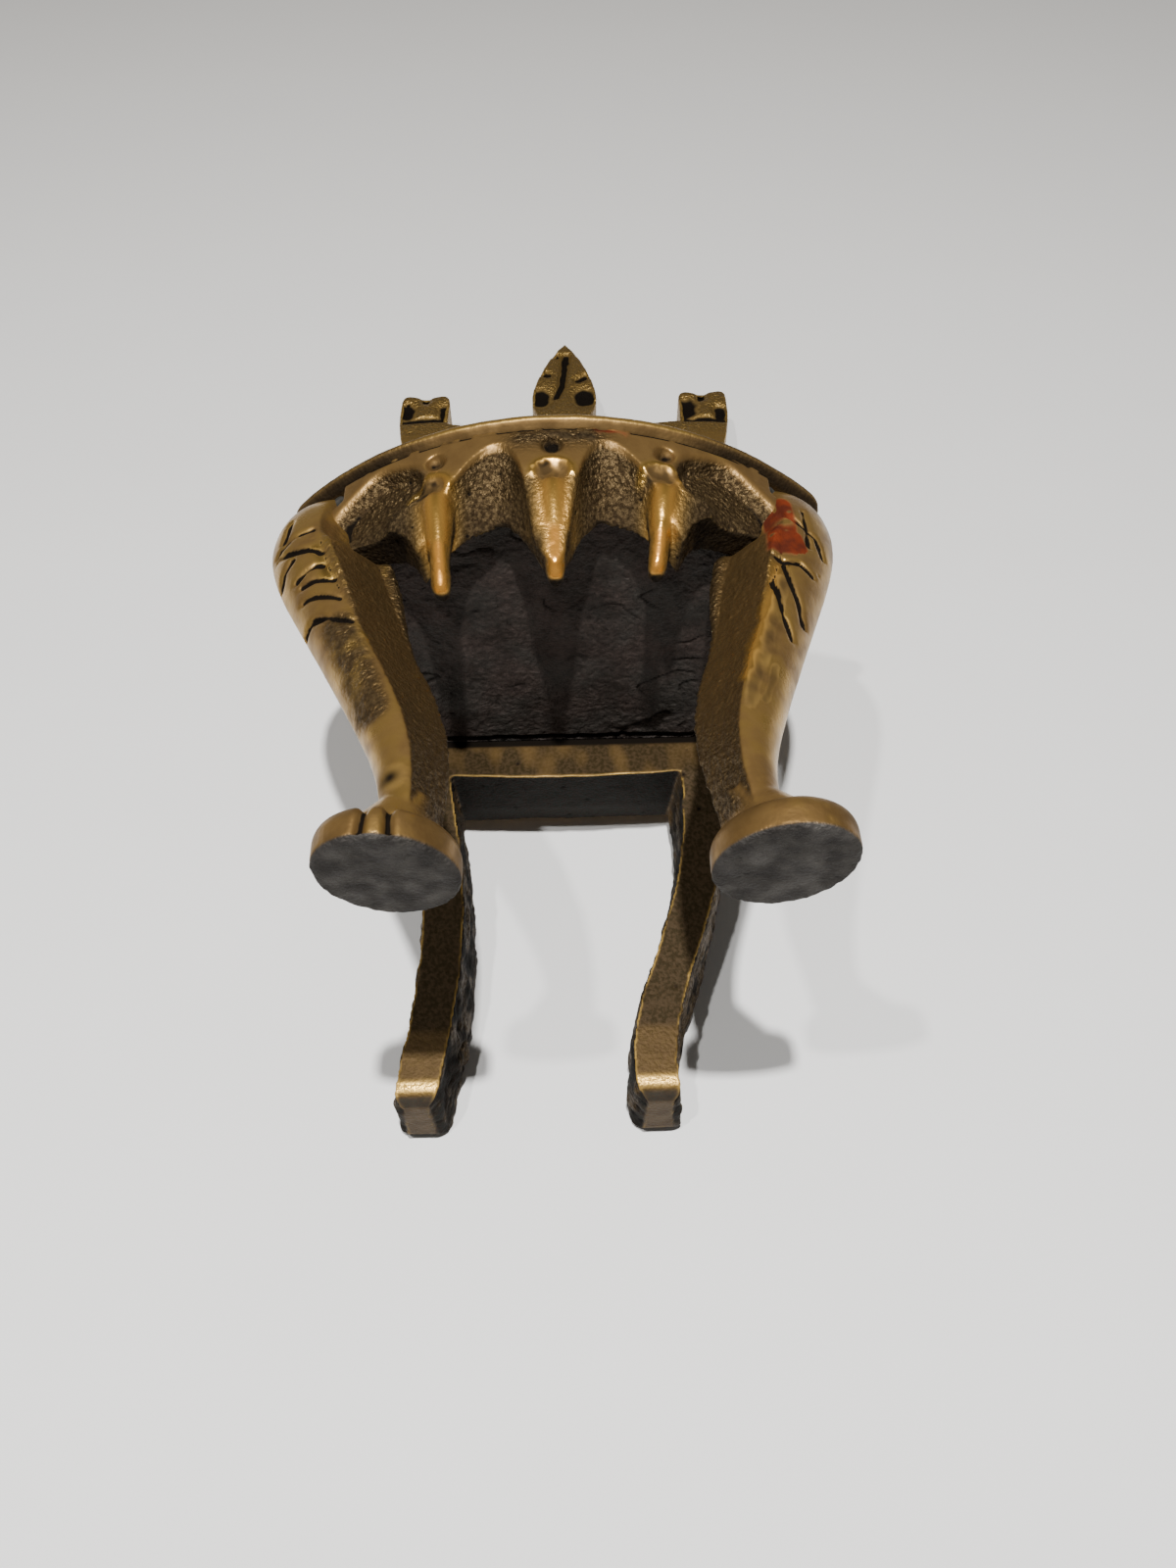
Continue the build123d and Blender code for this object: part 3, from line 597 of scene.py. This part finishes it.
def front_leg(side, name):
    """Worn in front, grainy inside and behind, with a bare sole; side is -1 for the left."""
    skin = Skin(name, 0.1, 5)
    uncut = skin.co
    _, y, z = uncut.T
    normal = skin.normal
    shaft = ramp(z, PAD_HEIGHT, PAD_HEIGHT + 1)
    inner = ramp(-side * normal[:, 0], 0.3, 0.62) * ramp(normal[:, 1], -0.9, -0.5) * shaft
    back = ramp(normal[:, 1], 0.2, 0.6) * shaft
    rough = np.clip(inner + back, 0, 1)
    sole = ramp(-normal[:, 2], 0.15, 0.45) * (1 - ramp(z, 0.4, 1.0))
    front = ramp(-normal[:, 1], -0.1, 0.3)
    paths, width = KNEE_GROOVES[side]
    cut = strokes(skin.co, paths, width)
    cut *= front * (1 - inner) * (0.75 + 0.45 * noise(skin.co, 0.8, 56))
    toes = np.zeros(len(z))
    if side < 0:
        toes = strokes(skin.co, TOE_GROOVES, 0.25) * front * (1 - ramp(y, -18.6, -17.8)) * (1 - sole)
    skin.push(KNEE_SWELL * inner * between(z, 17, 25, 26.5, 28.5))
    casting_grain(skin, rough, 0.06)
    casting_grain(skin, sole, 0.045)
    skin.push(0.015 * noise(skin.co, 1.5, 51) * (1 - rough))
    skin.push(-GROOVE_DEPTH * cut - TOE_DEPTH * toes)
    pits = spots(skin.co, 1.3, 0.25, 0.2, 52) * (1 - sole)
    skin.push(-0.07 * pits)
    pad = 1 - ramp(z, 2.2, 3.4)
    dirt_and_shade = 0.95 * ramp(cut + 0.12 * noise(skin.co, 0.5, 57), 0.2, 0.5)
    dirt_and_shade += 0.7 * ramp(toes, 0.4, 0.9) + 0.5 * ramp(pits, 0.3, 0.8)
    dirt_and_shade += 0.3 * pad * ramp(noise(skin.co, 0.9, 49), -0.8, 0.4)
    wear_and_highlight = 0.22 + 0.35 * noise(skin.co, 1.6, 53) + 0.2 * noise(skin.co, 0.6, 48) - 0.8 * rough
    wear_and_highlight -= 0.25 * pad
    skin.look["coarse"] = rough
    skin.look["bare"] = sole
    if side < 0:
        more_dirt, more_wear_and_highlight = left_marks(skin, uncut, front, inner)
        dirt_and_shade += more_dirt
    else:
        more_dirt, more_wear_and_highlight, paint = right_marks(skin, uncut, front, inner)
        dirt_and_shade = (dirt_and_shade + more_dirt) * (1 - 0.6 * paint)
    settle(skin, wear_and_highlight + more_wear_and_highlight, dirt_and_shade, 0.08, 0.07)
    skin.look["wear_and_highlight"] *= 1 - sole
    skin.finish(BRASS)


def side_rail(name):
    """Plain sand-cast rail, darker underneath."""
    skin = Skin(name, 0.14, 3)
    casting_grain(skin, np.ones(len(skin.co)), 0.04)
    under = ramp(-skin.normal[:, 2], 0.5, 0.8)
    skin.look["coarse"] = np.ones(len(skin.co)) * 0.8
    skin.look["teal"] = under
    settle(skin, 0.1, 0.0)
    skin.finish(BRASS)


# Front view (x, z) of the carving on the crest.
LEAF_CUTS = (
    ((1.1, 80.9), (0.85, 78.0), (0.6, 75.4), (0.0, 73.6)),
    ((-0.7, 81.4), (0.1, 80.9)),
    ((-1.7, 78.0), (-0.8, 77.4)),
    ((3.1, 77.0), (2.3, 76.4)),
)
LEAF_HOLLOWS = ((-1.6, 73.4, 1.1), (2.9, 73.4, 1.1))
EAR_HOLLOWS = ((-14.9, 71.4, 0.8), (-10.9, 71.2, 0.8), (12.9, 71.2, 1.2), (16.3, 70.4, 0.6))
EAR_CUTS = (
    ((-13.1, 74.6), (-13.1, 73.0)),
    ((14.7, 74.6), (14.6, 72.8)),
    ((-15.2, 69.6), (-11.0, 70.0)),
    ((12.6, 69.4), (16.6, 69.0)),
)
HOLLOW_WIDTH = 1.15
EAR_LOBE = 73.2  # the lobes of the ears are lower above this height

REAR_LEG_X = 9.6
LEG_NARROWING = 0.45
HEEL_ROUNDING = 1.1
HEEL_HIGHLIGHT_HEIGHT = 1.15  # height of the worn edge above the heel, painted bright gold as its highlight
RAIL_BOTTOM = 23.2
RAIL_BOW = 0.4
RAIL_SWELL = (1.0, 0.7)  # how far the rail's lower back edge swells backwards and rises
FLASH = (-8.0, 16.5, 5.0)  # casting flash on the left leg's inner face


def round_heels(skin):
    """Rounds off the foot of each rear leg all round."""
    x, _, z = skin.co.T
    ball = np.sqrt(np.clip(1 - (1 - np.clip(z, 0, HEEL_ROUNDING) / HEEL_ROUNDING) ** 2, 0, 1))
    for side in (-1, 1):
        foot = (side * x > 0) & (z < HEEL_ROUNDING)
        for axis in (0, 1):
            low, high = skin.co[foot, axis].min(), skin.co[foot, axis].max()
            middle, half = (low + high) / 2, (high - low) / 2
            share = 1 - (1 - ball[foot]) * HEEL_ROUNDING / half
            skin.co[foot, axis] = middle + (skin.co[foot, axis] - middle) * share


def bend_rail(skin):
    """Swells the rear rail's lower back edge and bows its underside."""
    x, y, z = skin.co.T
    swell = ramp(y, 13.5, 16) * (1 - ramp(np.abs(x), 7.6, 8.6)) * ramp(z, 22, 23.5)
    skin.co[:, 1] += RAIL_SWELL[0] * swell * (1 - ramp(z, 29, 33))
    skin.co[:, 2] += RAIL_SWELL[1] * swell * (1 - ramp(z, 26.5, 29))
    arch = 1 - np.clip(np.abs(x) / 8.5, 0, 1) ** 2
    skin.co[:, 2] -= RAIL_BOW * arch * between(z, 22.5, 23.5, 23.5, 26)


def lower_ears(skin):
    """Brings down the lobes on top of both ears."""
    x, _, z = skin.co.T
    ear = ramp(np.abs(x), 8, 9)
    skin.co[:, 2] -= np.where(z > EAR_LOBE, 0.55 * ear * (z - EAR_LOBE), 0)


def carve_crest(skin, facing):
    """Cuts the veins and hollows of the leaf and ears, and returns their blurred depth as dirt."""
    cut = strokes(skin.co, (*LEAF_CUTS, *EAR_CUTS), 0.42) * facing
    hollow = np.zeros(len(facing))
    for cx, cz, width in (*LEAF_HOLLOWS, *EAR_HOLLOWS):
        path = ((cx, cz - 0.5), (cx, cz + 0.3))
        hollow = np.maximum(hollow, stroke(skin.co, path, HOLLOW_WIDTH * width))
    hollow *= facing
    skin.push(-0.5 * cut - 0.55 * hollow)
    blur = 0.14 * noise(skin.co, 0.6, 68)
    return 0.9 * ramp(cut + blur, 0.25, 0.75) + 0.9 * ramp(hollow + blur, 0.2, 0.75)


def back_frame():
    """Rough black legs with golden heels below, and a carved, grainy crest above."""
    skin = Skin("back_frame", 0.13, 4)
    x, y, z = skin.co.T
    normal = skin.normal
    below = 1 - ramp(z, RAIL_BOTTOM, RAIL_BOTTOM + 1)
    ragged = z + 2.2 * noise(skin.co, 2.5, 69) + 1.2 * noise(skin.co, 1.0, 70)
    fading = 1 - ramp(ragged, 20.5, 29)
    sides = ramp(np.abs(normal[:, 0]), 0.45, 0.8)
    inner = ramp(-np.sign(x) * normal[:, 0], 0.45, 0.8)
    behind = ramp(normal[:, 1], 0.3, 0.7)
    front = ramp(-normal[:, 1], 0.5, 0.8)
    facing = ramp(-normal[:, 1], 0.1, 0.5)
    leg_rough = np.clip(sides + behind, 0, 1) * fading
    rail_under = ramp(-normal[:, 2], 0.6, 0.9) * between(z, 23.0, 23.8, 26.2, 26.8)
    sole = 1 - ramp(z, 0.35, 0.6)
    # Painted highlight: a narrow golden band along the front edge above each heel, partly real wear.
    arris_highlight = front * np.exp(-(((z - HEEL_HIGHLIGHT_HEIGHT) / 0.3) ** 2))
    upper = ramp(z, 33, 34)
    chunky = 0.24 * noise(skin.co, 1.5, 61) + 0.15 * noise(skin.co, 0.8, 62)
    chunky += 0.09 * noise(skin.co, 0.4, 63)
    frontness = ramp(-y, -5.5, 1.5) * below
    skin.co[:, 0] -= LEG_NARROWING * frontness * np.clip(x - np.sign(x) * REAR_LEG_X, -1, 1)
    round_heels(skin)
    bend_rail(skin)
    lower_ears(skin)
    skin.update()
    skin.push(leg_rough * (0.8 * chunky - 0.1) + 0.22 * rail_under * (chunky - 0.1))
    away = (x - FLASH[0]) ** 2 / 2 + (y - FLASH[1]) ** 2 / 2.5 + (z - FLASH[2]) ** 2 / 6
    flash = np.exp(-away) * ramp(normal[:, 0], 0.3, 0.7)
    skin.push(flash * (0.5 + 0.4 * noise(skin.co, 0.7, 64)))
    casting_grain(skin, sole * 0.5 + 0.3 * front * below * ramp(z, 2, 4) + 0.3 * upper, 0.04)
    pits = spots(skin.co, 1.5, 0.34, 0.35, 65) * (1 - leg_rough)
    skin.push(-0.11 * pits)
    dirt_and_shade = carve_crest(skin, facing)
    coarse = leg_rough + 0.35 * front * below + 0.3 * upper + 0.5 * ramp(z, 66, 68)
    skin.look["coarse"] = np.clip(coarse, 0, 1)
    clumps = noise(skin.co, 1.2, 66)
    crust = inner * ramp(clumps, -0.5, 0.2) + (1 - inner) * ramp(clumps, 0.1, 0.5)
    skin.look["bare"] = 0.5 * sole
    skin.look["teal"] = np.clip(0.5 * sole + rail_under + leg_rough * crust, 0, 1)
    strip = front * between(z, RAIL_BOTTOM, RAIL_BOTTOM + 1, 26.5, 27.5)
    streaks = 1.0 + 0.4 * noise(skin.co * np.array([1, 1, 0.5]), 1.1, 67)
    # Dark aged patina on the rear legs' fronts and the rail's front strip. On the legs it is also painted
    # shade, and the step darker above about 5 mm paints the shadow that the front legs cast there.
    skin.look["age_and_shade"] = front * below * (0.75 + 0.25 * ramp(z, 4.6, 5.4)) + strip * streaks
    # Painted shade: the front face above the rail strip, inside the joint under the seat core, is painted
    # black.
    dirt_and_shade += 0.75 * ramp(pits, 0.3, 0.8) + front * between(z, 26.5, 26.9, 33, 33.5)
    dirt_and_shade += leg_rough * (0.15 + 0.1 * inner + 0.5 * ramp(-chunky, -0.08, 0.18))
    top_edge = between(z, 25.6, 26.0, 33, 33.5)
    wear_and_highlight = 0.25 * upper + 1.2 * arris_highlight - 0.5 * leg_rough - 0.9 * top_edge
    settle(skin, wear_and_highlight, dirt_and_shade, 0.085, 0.1)
    skin.look["wear_and_highlight"] *= 1 - 0.8 * leg_rough * (1 - ramp(skin.relief(10), 0.06, 0.12))
    skin.finish(BRASS)


def solder_fillets():
    """Lumpy filler that sinks back between the apron's ends and the knees."""
    skin = Skin("solder_fillets", 0.07, 6)
    outward = skin.co - np.array([0, ARC_CENTRE_Y, 0])
    outward[:, 2] = 0
    reach = np.linalg.norm(outward, axis=1)
    sunk = 0.5 * (reach - reach.min())
    skin.co -= outward / reach[:, None] * sunk[:, None]
    skin.update()
    skin.push(0.05 * noise(skin.co, 0.5, 71) + 0.03 * noise(skin.co, 0.25, 72))
    skin.finish(SOLDER)


# ---------------------------------------------------------------- stage


CAMERA_PLACE = (0.2, -71.0, -34.8)
CAMERA_ANGLES = (53.65, 1.57, -0.09)  # pitch, yaw and roll in degrees
SENSOR = 36
LENS = 29.4075


def camera():
    """Looks up at the chair from in front of its feet, as when it lies on its back on a sheet of paper."""
    place = Vector(CAMERA_PLACE) * MM
    pitch, yaw, roll = (math.radians(a) for a in CAMERA_ANGLES)
    ahead = Vector((math.sin(yaw) * math.cos(pitch), math.sin(pitch), math.cos(yaw) * math.cos(pitch)))
    right = Vector((math.cos(yaw), 0, -math.sin(yaw)))
    up = right.cross(ahead)
    right, up = (
        right * math.cos(roll) + up * math.sin(roll),
        up * math.cos(roll) - right * math.sin(roll),
    )
    data = bpy.data.cameras.new("camera")
    data.sensor_width = SENSOR
    data.lens = LENS
    data.clip_start = 1 * MM
    data.clip_end = 10000 * MM
    cam = bpy.data.objects.new("camera", data)
    cam.matrix_world = Matrix((
        (right.x, up.x, -ahead.x, place.x),
        (right.y, up.y, -ahead.y, place.y),
        (right.z, up.z, -ahead.z, place.z),
        (0, 0, 0, 1),
    ))
    bpy.context.scene.collection.objects.link(cam)
    bpy.context.scene.camera = cam


PAPER_NEAR = (0.88, 0.87, 0.85)
PAPER_SHADED_FAR = (0.38, 0.365, 0.34)
# The paper darkens with height from the first of these to the second, in metres: painted shade for the light
# falling off higher up.
PAPER_SHADE_FADE = (-0.02, 0.22)
# The paper touches the heels and the back of the crest (metres).
PAPER_AT_FLOOR = 0.0197
PAPER_SLOPE = -0.06
REACH = 0.6


def paper_material(name):
    """Matt paper, painted darker with height as shade, that is only there when it is seen from its front."""
    mat = bpy.data.materials.new(name)
    mat.use_nodes = True
    nodes, links = mat.node_tree.nodes, mat.node_tree.links
    shader = nodes["Principled BSDF"]
    shader.inputs["Roughness"].default_value = 0.8
    shader.inputs["Specular IOR Level"].default_value = 0.2
    place = nodes.new("ShaderNodeTexCoord")
    split = nodes.new("ShaderNodeSeparateXYZ")
    links.new(place.outputs["Object"], split.inputs[0])
    fade = nodes.new("ShaderNodeMapRange")
    fade.inputs["From Min"].default_value, fade.inputs["From Max"].default_value = PAPER_SHADE_FADE
    links.new(split.outputs["Z"], fade.inputs["Value"])
    grain = nodes.new("ShaderNodeTexNoise")
    grain.inputs["Scale"].default_value = 90
    fleck = nodes.new("ShaderNodeMixRGB")
    fleck.inputs["Color1"].default_value = (*[c * 0.96 for c in PAPER_NEAR], 1)
    fleck.inputs["Color2"].default_value = (*PAPER_NEAR, 1)
    links.new(grain.outputs["Fac"], fleck.inputs["Fac"])
    far = nodes.new("ShaderNodeMixRGB")
    far.inputs["Color2"].default_value = (*PAPER_SHADED_FAR, 1)
    links.new(fade.outputs[0], far.inputs["Fac"])
    links.new(fleck.outputs[0], far.inputs["Color1"])
    links.new(far.outputs[0], shader.inputs["Base Color"])
    side = nodes.new("ShaderNodeNewGeometry")
    clear = nodes.new("ShaderNodeBsdfTransparent")
    mix = nodes.new("ShaderNodeMixShader")
    links.new(side.outputs["Backfacing"], mix.inputs[0])
    links.new(shader.outputs[0], mix.inputs[1])
    links.new(clear.outputs[0], mix.inputs[2])
    links.new(mix.outputs[0], nodes["Material Output"].inputs["Surface"])
    return mat


def plane(name, corners, mat, reflected):
    """A flat sheet that casts no shadow, and shows in the metal only if it is reflected."""
    mesh = bpy.data.meshes.new(name)
    mesh.from_pydata(corners, [], [(0, 1, 2, 3)])
    obj = bpy.data.objects.new(name, mesh)
    bpy.context.scene.collection.objects.link(obj)
    mesh.materials.append(mat)
    obj.visible_shadow = False
    obj.visible_diffuse = reflected
    obj.visible_glossy = reflected
    obj.visible_transmission = False


# Lamps: place, width and power. Only the small ones show in the metal.
LAMPS = (
    ("lamp_a", (0.7, -278, -35), 7, 1.5),
    ("lamp_b", (-65, -254, -43), 7, 0.36),
    ("lamp_top", (-60, 90, 300), 120, 0.5),
    ("lamp_rear", (0, 320, 90), 120, 0.3),
)
SMALL_LAMP = 50
LAMP_TARGET = (0, 0, 30)
ROOM_LIGHT = (1.0, 0.97, 0.93)
ROOM_STRENGTH = 0.12


def stage():
    """Paper behind the chair, floor under it, lamps and the room's light."""
    paper = paper_material("paper")
    near_y, far_y = (PAPER_AT_FLOOR + PAPER_SLOPE * z for z in (-REACH, REACH))
    sheet = [(-REACH, near_y, -REACH), (REACH, near_y, -REACH), (REACH, far_y, REACH), (-REACH, far_y, REACH)]
    plane("paper_sheet", sheet, paper, True)
    floor = [(-REACH, -REACH, 0), (REACH, -REACH, 0), (REACH, REACH, 0), (-REACH, REACH, 0)]
    plane("floor", floor, paper, False)
    world = bpy.data.worlds.new("world")
    bpy.context.scene.world = world
    world.use_nodes = True
    background = world.node_tree.nodes["Background"]
    background.inputs["Color"].default_value = (*ROOM_LIGHT, 1)
    background.inputs["Strength"].default_value = ROOM_STRENGTH
    target = Vector(LAMP_TARGET) * MM
    for name, place, width, power in LAMPS:
        data = bpy.data.lights.new(name, "AREA")
        data.energy = power
        data.size = width * MM
        lamp = bpy.data.objects.new(name, data)
        lamp.location = Vector(place) * MM
        lamp.visible_glossy = width < SMALL_LAMP
        lamp.rotation_mode = "QUATERNION"
        lamp.rotation_quaternion = (lamp.location - target).to_track_quat("Z", "Y")
        bpy.context.scene.collection.objects.link(lamp)


def rear_tenons():
    """Hidden, so the plain CAD shape only takes on the brass."""
    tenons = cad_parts["rear_tenons"]
    tenons.data.materials.clear()
    tenons.data.materials.append(BRASS)


seat_plate()
seat_core()
front_apron()
front_leg(-1, "left_front_leg")
front_leg(1, "right_front_leg")
side_rail("left_side_rail")
side_rail("right_side_rail")
back_frame()
solder_fillets()
rear_tenons()
stage()
camera()
